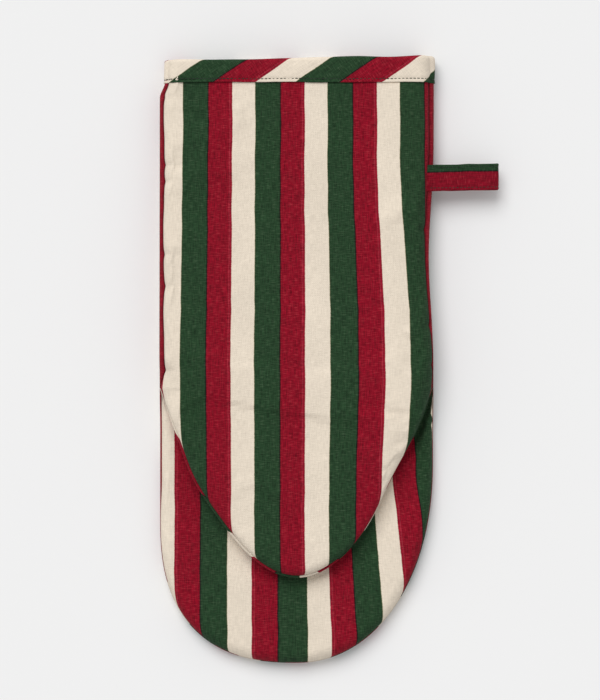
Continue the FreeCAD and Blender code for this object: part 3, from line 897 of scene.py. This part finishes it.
out_x = np.linspace(loop_root, loop_end - eye - 0.7, 46)
gap = 0.75 + (eye - 0.75) * ease(92, 117, out_x)
bend = np.linspace(math.pi / 2, -math.pi / 2, 13)[1:-1]
end_z = loop_centre(out_x[-1])
path_x = np.concatenate([out_x, out_x[-1] + eye * np.cos(bend), out_x[::-1]])
path_z = np.concatenate([loop_centre(out_x) + gap, end_z + eye * np.sin(bend), (loop_centre(out_x) - gap)[::-1]])
path = evenly(path_x, path_z, 130)
path_along = unit(np.gradient(path, axis=0))
path_up = np.stack([-path_along[:, 1], path_along[:, 0]], -1)
across = np.concatenate([np.linspace(-1, 1, 37), np.linspace(1, -1, 37)])
half_thick = 0.58 + 0.12 * np.exp(-(((np.abs(across) * loop_half - 6.9) / 0.8) ** 2))
half_thick -= 0.3 * np.exp(-(((np.abs(across) * loop_half - 6.2) / 0.4) ** 2))
half_thick *= np.sqrt(np.clip(1 - np.abs(across) ** 22, 0, 1))
half_thick *= np.where(np.arange(74) < 37, 1, -1)
across, half_thick = np.append(across, across[0]), np.append(half_thick, half_thick[0])
loop_run = np.concatenate([[0], np.cumsum(np.hypot(*np.diff(path, axis=0).T))])
wavy = 0.25 * swell(loop_run[:, None] + 0 * across, across * 3, 7, 61) + 0.02 * (path[:, :1] - 80)
loop_y = loop_middle - 1.1 + across * loop_half + wavy
ruffle = 0.12 * swell(loop_run[:, None] + 0 * across, across * 8, 3.4, 62)
push = half_thick + ruffle
loop_points = np.stack([path[:, :1] + path_up[:, :1] * push, loop_y, path[:, 1:] + path_up[:, 1:] * push], -1)
loop_flat = np.stack([15 + 3.7 - across * loop_half + 0 * loop_run[:, None], loop_run[:, None] + 0 * across], -1)
loop = close_ends(grid_piece("hanging_loop_strap", loop_points, loop_flat, ring=True, flip=True))

loop_stitch_run = np.arange(3.5, loop_run[-1] - 3.5, 2.3)
loop_stitch_parts = []
for edge in (-6.2, 6.2):
    at = [np.interp(loop_stitch_run, loop_run, v) for v in (path[:, 0], path[:, 1], path_along[:, 0], path_along[:, 1])]
    ones = np.ones(len(loop_stitch_run))
    place_y = loop_middle - 1.1 + edge + 0.02 * (at[0] - 80)
    place = np.stack([at[0] - at[3] * 0.3, place_y, at[1] + at[2] * 0.3], -1)
    loop_stitch_parts.append((place, unit(np.stack([at[2], 0 * ones, at[3]], -1)), unit(np.stack([-at[3], 0 * ones, at[2]], -1))))
loop_stitches = stitch_row("loop_stitch_rows", *(np.concatenate(v) for v in zip(*loop_stitch_parts)), 1.8, 0.22)
print(f"loop strap {len(loop.data.polygons)} faces, {loop_run[-1]:.0f} mm long, stitches {2 * len(loop_stitch_run)}")

# %% [markdown]
# ## Shader tools
#
# Materials are graphs of nodes, and a small helper makes one node and joins its inputs in one line. An effect
# that several cloths share is a node group with named inputs and outputs, built once. A group gives out only
# colours, values and heights, and the Principled shader stays in each material.

# %% Node helpers
def add(tree, kind, ins=None, **settings):
    """One shader node: settings are its properties, and ins joins or sets its inputs by name or number."""
    made = tree.nodes.new("ShaderNode" + kind)
    for key, value in settings.items():
        setattr(made, key, value)
    for key, value in (ins or {}).items():
        if isinstance(value, bpy.types.NodeSocket):
            tree.links.new(value, made.inputs[key])
        else:
            made.inputs[key].default_value = value
    return made


def sums(tree, kind, *values):
    """One Math node's result."""
    return add(tree, "Math", dict(enumerate(values)), operation=kind).outputs[0]


def blend_colour(tree, factor, one, two, how="MIX"):
    """One Mix node on colours."""
    made = tree.nodes.new("ShaderNodeMix")
    made.data_type = "RGBA"
    made.blend_type = how
    for index, value in ((0, factor), (6, one), (7, two)):
        if isinstance(value, bpy.types.NodeSocket):
            tree.links.new(value, made.inputs[index])
        else:
            made.inputs[index].default_value = value
    return made.outputs[2]


def spread_out(tree, value, low_in, high_in, low_out, high_out):
    """Moves a value from one range to another, and keeps it inside."""
    return add(tree, "MapRange", {0: value, 1: low_in, 2: high_in, 3: low_out, 4: high_out}).outputs[0]


def group(name, ins, outs):
    """An empty node group with its sockets: each is a name and a kind, and an input has a default."""
    tree = bpy.data.node_groups.new(name, "ShaderNodeTree")
    for label, default in ins.items():
        kind = "NodeSocketColor" if isinstance(default, tuple) else "NodeSocketFloat"
        tree.interface.new_socket(name=label, in_out="INPUT", socket_type=kind).default_value = default
    for label, kind in outs.items():
        tree.interface.new_socket(name=label, in_out="OUTPUT", socket_type="NodeSocket" + kind)
    return tree, tree.nodes.new("NodeGroupInput").outputs, tree.nodes.new("NodeGroupOutput").inputs


def place_group(tree, made, ins):
    """One copy of a group in a material, with its inputs joined or set."""
    node = tree.nodes.new("ShaderNodeGroup")
    node.node_tree = made
    for key, value in ins.items():
        if isinstance(value, bpy.types.NodeSocket):
            tree.links.new(value, node.inputs[key])
        else:
            node.inputs[key].default_value = value
    return node.outputs


def linear(r, g, b):
    """A colour from the 0 to 255 values that a screen shows to the linear light that shaders use."""
    c = np.array([r, g, b]) / 255
    light = np.where(c <= 0.04045, c / 12.92, ((c + 0.055) / 1.055) ** 2.4)
    return (*(float(v) for v in light), 1.0)


cream, green, red = linear(230, 217, 199), linear(36, 63, 39), linear(134, 9, 32)
print("cream", [round(c, 3) for c in cream], "green", [round(c, 3) for c in green], "red", [round(c, 3) for c in red])

# %% [markdown]
# ## The printed stripes
#
# Each stripe was printed by its own roller, and the rollers overlap a little. Where green meets red the inks
# lie on each other as a thin dark line, and where red meets cream the red thins out. So the stripes are one
# colour ramp over the repeat, with thin steps for those lines. Ink creeps along the threads, so the boundary
# wanders by a fraction of a millimetre.

# %% Stripes group
stripes, come, go = group("printed_stripes", {"Across": 0.0, "Along": 0.0}, {"Color": "Color", "Dark": "Float"})
creep_at = add(stripes, "CombineXYZ", {0: sums(stripes, "MULTIPLY", come["Across"], 0.25), 1: come["Along"], 2: 0.0})
creep = add(stripes, "TexNoise", {"Vector": creep_at.outputs[0], "Scale": 0.9, "Detail": 3.0, "Roughness": 0.6})
slow_at = add(stripes, "CombineXYZ", {0: sums(stripes, "MULTIPLY", come["Across"], 0.02), 1: come["Along"], 2: 7.0})
slow_creep = add(stripes, "TexNoise", {"Vector": slow_at.outputs[0], "Scale": 0.045, "Detail": 1.0})
moved = sums(stripes, "ADD", sums(stripes, "MULTIPLY", sums(stripes, "SUBTRACT", creep.outputs[0], 0.5), 0.45),
             sums(stripes, "MULTIPLY", sums(stripes, "SUBTRACT", slow_creep.outputs[0], 0.5), 1.2))
share = sums(stripes, "FRACT", sums(stripes, "DIVIDE", sums(stripes, "ADD", come["Across"], moved), repeat))
ramp = add(stripes, "ValToRGB", {0: share})
bands = ((0.0, linear(92, 92, 62)), (0.007, green), (0.338, green), (0.3425, linear(26, 22, 22)),
         (0.352, linear(30, 16, 20)), (0.358, red), (0.640, red), (0.645, linear(156, 44, 58)),
         (0.652, linear(150, 34, 50)), (0.658, linear(140, 12, 36)), (0.680, linear(144, 20, 42)), (0.686, cream),
         (0.994, cream), (1.0, linear(150, 148, 112)))
points_on_ramp = ramp.color_ramp.elements
while len(points_on_ramp) < len(bands):
    points_on_ramp.new(0.5)
for point, (where, ink) in zip(points_on_ramp, bands):
    point.position = where
for point, (where, ink) in zip(points_on_ramp, bands):
    point.color = ink
stripes.links.new(ramp.outputs[0], go["Color"])
darkness = sums(stripes, "LESS_THAN", share, 0.683)
stripes.links.new(darkness, go["Dark"])
print("bands", len(bands))

# %% [markdown]
# ## The weave
#
# Plain weave passes each thread over one and under the next. A product of two sines gives that chequer of small
# bumps. Real cotton yarn is uneven, so long thin streaks of noise run both ways, and here and there a thick
# place, a slub, catches less ink and shows pale in the dark stripes.

# %% Weave group
weave, come, go = group("plain_weave", {"Across": 0.0, "Along": 0.0, "Pitch": 0.55, "Seed": 0.0},
                        {"Height": "Float", "Shade": "Float", "Fleck": "Float", "Cloud": "Float"})


def wave(direction, offset):
    turn = sums(weave, "MULTIPLY", sums(weave, "DIVIDE", come[direction], come["Pitch"]), math.pi)
    return sums(weave, "SINE", sums(weave, "ADD", turn, offset))


def streak(across, along, scale, detail):
    at = add(weave, "CombineXYZ", {0: sums(weave, "MULTIPLY", come["Across"], across),
                                   1: sums(weave, "MULTIPLY", come["Along"], along), 2: come["Seed"]})
    return add(weave, "TexNoise", {"Vector": at.outputs[0], "Scale": scale, "Detail": detail}).outputs[0]


chequer = sums(weave, "MULTIPLY", wave("Across", 0.0), wave("Along", 0.0))
warp_yarn, weft_yarn = streak(1.9, 0.16, 1.0, 1.0), streak(0.30, 1.9, 1.0, 1.0)
warp_slub, weft_slub = streak(1.9, 0.25, 1.0, 0.0), streak(0.30, 1.9, 1.0, 0.0)
slub = sums(weave, "MAXIMUM", spread_out(weave, warp_slub, 0.60, 0.85, 0.0, 0.7),
            spread_out(weave, weft_slub, 0.56, 0.80, 0.0, 1.0))
yarns = sums(weave, "SUBTRACT", sums(weave, "ADD", warp_yarn, weft_yarn), 1.0)
shade = sums(weave, "ADD", sums(weave, "MULTIPLY", yarns, 1.1), sums(weave, "MULTIPLY", chequer, 0.10))
height = sums(weave, "ADD", sums(weave, "MULTIPLY", chequer, 0.35),
              sums(weave, "ADD", sums(weave, "MULTIPLY", yarns, 0.8), sums(weave, "MULTIPLY", slub, 0.5)))
weave.links.new(height, go["Height"])
weave.links.new(shade, go["Shade"])
weave.links.new(slub, go["Fleck"])
weave.links.new(streak(0.03, 0.03, 1.0, 3.0), go["Cloud"])
print("weave nodes", len(weave.nodes))

# %% [markdown]
# ## Cloth materials
#
# The printed cotton reads its own UV map, in metres, so the print and threads follow every panel. The threads
# lighten and darken the ink a few percent, pale slubs show in the dark stripes, and the weave, the slubs and a
# faint crumple feed one bump. Rubbed seams are a little paler, which a value stored on each vertex says. A second
# stored value paints shade into the seams, mixing the cloth towards near-black where they lie deep.

# %% Cloth finishes
def cloth_material(name, printed_cloth, colour=cream, pitch=0.55, seed=0.0, strength=1.0, tint=(1, 1, 1, 1)):
    made = bpy.data.materials.new(name)
    made.use_nodes = True
    tree = made.node_tree
    shader = tree.nodes["Principled BSDF"]
    uv = add(tree, "UVMap", uv_map="cloth").outputs[0]
    sizes = add(tree, "VectorMath", {0: uv, 1: (1000, 1000, 1000)}, operation="MULTIPLY").outputs[0]
    split = add(tree, "SeparateXYZ", {0: sizes}).outputs
    threads = place_group(tree, weave, {"Across": split[0], "Along": split[1], "Pitch": pitch, "Seed": seed})
    if printed_cloth:
        inks = place_group(tree, stripes, {"Across": split[0], "Along": split[1]})
        base, dark = inks["Color"], inks["Dark"]
    else:
        base, dark = colour, 0.15
    if tint != (1, 1, 1, 1):
        base = blend_colour(tree, 1.0, base, tint, "MULTIPLY")
    pale = blend_colour(tree, sums(tree, "MULTIPLY", threads["Fleck"], sums(tree, "MULTIPLY", dark, 0.02)), base, cream)
    level = sums(tree, "ADD", 1.0, sums(tree, "MULTIPLY", threads["Shade"], spread_out(tree, dark, 0.0, 1.0, 0.26, 1.25)))
    level = sums(tree, "MULTIPLY", level, spread_out(tree, threads["Cloud"], 0.3, 0.7, 0.955, 1.04))
    grey = add(tree, "CombineColor", {0: level, 1: level, 2: level}).outputs[0]
    shaded = blend_colour(tree, 1.0, pale, grey, "MULTIPLY")
    worn = add(tree, "Attribute", attribute_name="rubbed").outputs["Fac"]
    rubbed = blend_colour(tree, sums(tree, "MULTIPLY", worn, sums(tree, "MULTIPLY", dark, 0.03)), shaded, cream)
    # Painted shade: along the seams the cloth is mixed up to 72 percent towards near-black, by the value stored on each
    # vertex.
    painted_seam_shade = add(tree, "Attribute", attribute_name="painted_seam_shade").outputs["Fac"]
    seam_shaded = blend_colour(tree, sums(tree, "MULTIPLY", painted_seam_shade, 0.72), rubbed, (0.012, 0.008, 0.008, 1))
    tree.links.new(seam_shaded, shader.inputs["Base Color"])
    tree.links.new(spread_out(tree, threads["Cloud"], 0.2, 0.8, 0.82, 0.95), shader.inputs["Roughness"])
    shader.inputs["Specular IOR Level"].default_value = 0.12
    shader.inputs["Sheen Weight"].default_value = 0.02
    shader.inputs["Sheen Roughness"].default_value = 0.5
    crumple = add(tree, "TexNoise", {"Vector": sizes, "Scale": 0.16, "Detail": 3.0, "Roughness": 0.55}).outputs[0]
    rough = sums(tree, "ADD", sums(tree, "MULTIPLY", threads["Height"], 0.11), sums(tree, "MULTIPLY", crumple, 0.5))
    bump = add(tree, "Bump", {"Height": rough, "Strength": strength, "Distance": 0.001})
    tree.links.new(bump.outputs[0], shader.inputs["Normal"])
    return made


def thread_material(name, colour):
    """Twisted cotton thread: fine diagonal bands of light and dark on Object coordinates, and a matching bump."""
    made = bpy.data.materials.new(name)
    made.use_nodes = True
    tree = made.node_tree
    shader = tree.nodes["Principled BSDF"]
    at = add(tree, "TexCoord").outputs["Object"]
    twist = add(tree, "TexWave", {"Vector": at, "Scale": 900.0, "Distortion": 2.0}, bands_direction="DIAGONAL").outputs[1]
    fuzz = add(tree, "TexNoise", {"Vector": at, "Scale": 700.0, "Detail": 2.0}).outputs[0]
    level = sums(tree, "ADD", spread_out(tree, twist, 0.0, 1.0, 0.8, 1.1), sums(tree, "MULTIPLY", fuzz, 0.12))
    grey = add(tree, "CombineColor", {0: level, 1: level, 2: level}).outputs[0]
    tree.links.new(blend_colour(tree, 1.0, colour, grey, "MULTIPLY"), shader.inputs["Base Color"])
    tree.links.new(spread_out(tree, fuzz, 0.0, 1.0, 0.55, 0.75), shader.inputs["Roughness"])
    tree.links.new(add(tree, "Bump", {"Height": twist, "Strength": 0.5, "Distance": 0.0001}).outputs[0],
                   shader.inputs["Normal"])
    return made


def wadding_material(name):
    """Carded fibres: tangled noise at two sizes in an off-white, with a soft bump."""
    made = bpy.data.materials.new(name)
    made.use_nodes = True
    tree = made.node_tree
    shader = tree.nodes["Principled BSDF"]
    at = add(tree, "TexCoord").outputs["Object"]
    fibres = add(tree, "TexNoise", {"Vector": at, "Scale": 900.0, "Detail": 4.0, "Distortion": 1.5}).outputs[0]
    tufts = add(tree, "TexNoise", {"Vector": at, "Scale": 120.0, "Detail": 2.0}).outputs[0]
    tree.links.new(blend_colour(tree, fibres, linear(214, 208, 196), linear(240, 237, 230)), shader.inputs["Base Color"])
    tree.links.new(spread_out(tree, tufts, 0.0, 1.0, 0.85, 1.0), shader.inputs["Roughness"])
    tree.links.new(add(tree, "Bump", {"Height": sums(tree, "ADD", fibres, tufts), "Strength": 0.6, "Distance": 0.0005}).outputs[0],
                   shader.inputs["Normal"])
    return made


print_finish = cloth_material("striped_cotton", True)
bias_finish = cloth_material("bias_cotton", True, seed=5.0)
loop_finish = cloth_material("loop_cotton", True, seed=9.0, tint=(0.86, 0.9, 0.92, 1))
lining_finish = cloth_material("lining_cotton", False, linear(224, 216, 202), pitch=0.6, seed=13.0)
wadding_finish = wadding_material("wadding")
green_finish = thread_material("green_thread", linear(24, 40, 27))
pale_finish = thread_material("seam_thread", linear(206, 196, 178))
print("finishes", len(bpy.data.materials))

# %% [markdown]
# ## Wear, bodies and what each piece stands for
#
# The frame says what moves. The front panel, the tongue's underside and the thumb's seam are handed the hand
# and the tongue as two bodies, and the loop's strap and stitches the hand and the loop. None of these is
# parented, though: each is only fixed where it stands. Everything else rides on the hand. Each piece then hides
# the CAD nodes that it stands for.

# %% Riding and replacing
tongue_start = (0, 0, tongue_hinge[2] * mm)
tongue_turn = (0, -20 * mm, tongue_hinge[2] * mm)


def finish_piece(piece, finish, slot_name, body, *nodes):
    """Gives a piece its material, parents it to a named body and hides the CAD nodes it stands for; slot_name is not
    used.
    For a blend, nothing is done with its two bodies and points, and the piece is left unparented where it stands.
    """
    piece.data.materials.clear()
    piece.data.materials.append(finish)
    if isinstance(body, str):
        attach(piece, body)
    else:
        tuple(body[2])
        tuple(body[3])
        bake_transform(piece)
    if nodes:
        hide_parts(*nodes)


def store_rubbed(piece, reach):
    """Stores how rubbed each vertex is: 1 on the outermost line, falling off as it goes in."""
    co = np.empty(len(piece.data.vertices) * 3, np.float32)
    piece.data.vertices.foreach_get("co", co)
    co = co.reshape(-1, 3) / mm
    edge = np.where(co[:, 0] < 0, hand_edge(co[:, 1], LEFT), hand_edge(co[:, 1], RIGHT))
    off = np.maximum(edge - np.abs(co[:, 0]), 0)
    patchy = 0.6 + 0.4 * swell(co[:, 1], co[:, 0] * 0.2, 5, 71)
    store(piece, "rubbed", np.exp(-off / reach) * patchy)


to_tongue = ("root", "thumb_tongue", tongue_start, tongue_turn)
to_loop = ("root", "loop", (80 * mm, loop_middle * mm, loop_hinge[2] * mm), (86.5 * mm, loop_middle * mm, loop_hinge[2] * mm))
wall_nodes = {"front": ("front", "thumb"), "back": ("back",), "mouth": ("mouth",), "thumb_mouth": ("thumb_mouth",)}
layer_finish = {"cloth": (print_finish, "striped_cotton"), "wadding": (wadding_finish, "wadding"),
                "lining": (lining_finish, "lining_cotton")}
for (wall_name, layer), piece in walls.items():
    store_rubbed(piece, 1.2)
    body = to_tongue if wall_name in ("front", "thumb_mouth") else "root"
    finish_piece(piece, *layer_finish[layer], body, *(f"{stem}_{layer}" for stem in wall_nodes[wall_name]))
for layer, piece in folds.items():
    finish_piece(piece, *layer_finish[layer], "root")
finish_piece(binding, bias_finish, "bias_cotton", "root", "cuff_binding")
finish_piece(binding_stitches, green_finish, "green_thread", "root", "binding_stitches")
finish_piece(side_seams[LEFT], pale_finish, "seam_thread", "root", "side_seam_left")
finish_piece(side_seams[RIGHT], pale_finish, "seam_thread", "root", "side_seam_right")
finish_piece(finger_seam, pale_finish, "seam_thread", "root", "finger_seam")
finish_piece(thumb_seam, pale_finish, "seam_thread", to_tongue, "thumb_seam")
finish_piece(loop, loop_finish, "loop_cotton", to_loop, "hanging_loop", "loop_tab")
finish_piece(loop_stitches, green_finish, "green_thread", to_loop, "loop_stitches")
print("pieces", len(walls) + len(folds) + 8)
